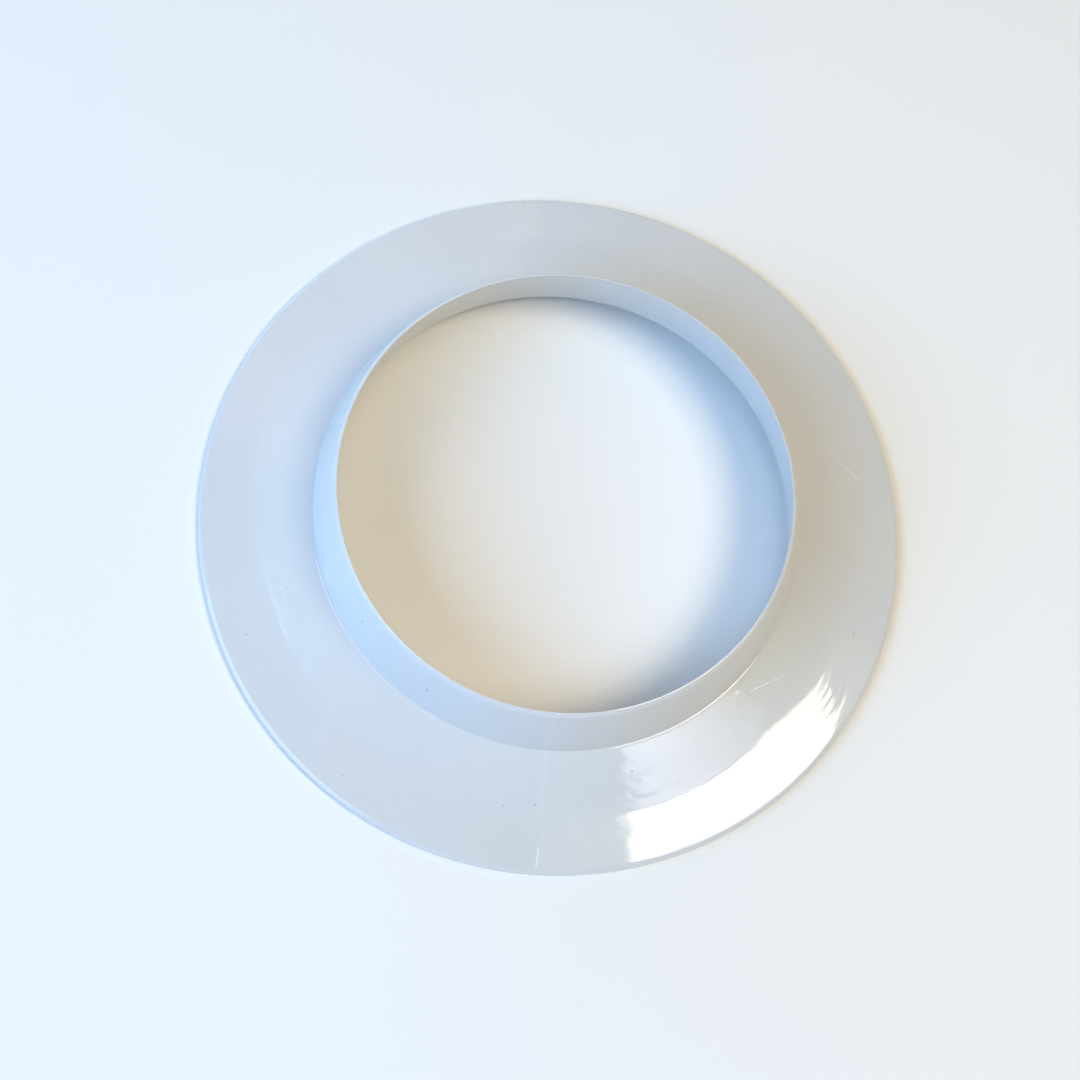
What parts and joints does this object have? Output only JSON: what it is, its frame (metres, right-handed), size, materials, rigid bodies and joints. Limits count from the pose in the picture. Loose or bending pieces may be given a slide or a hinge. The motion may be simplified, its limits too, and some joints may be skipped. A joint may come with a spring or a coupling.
{
  "type": "pipe wall flange",
  "caption": "Round cover flange for a soil pipe: a conical collar on a wide shallow brim, moulded in one piece, which hides the hole round the pipe.",
  "frame": {"origin": "centre of the foot, on the pipe's axis and in the plane of the wall that the flange rests on", "axes": "+Z along the pipe, from the wall towards the mouth of the collar; X and Y are free, because the ring is round"},
  "size_m": [0.18, 0.18, 0.026],
  "materials": {
    "white_plastic": "glossy cool white moulded polypropylene, very lightly scuffed"
  },
  "bodies": {
    "root": {"flange_body": "white_plastic"}
  },
  "joints": []
}
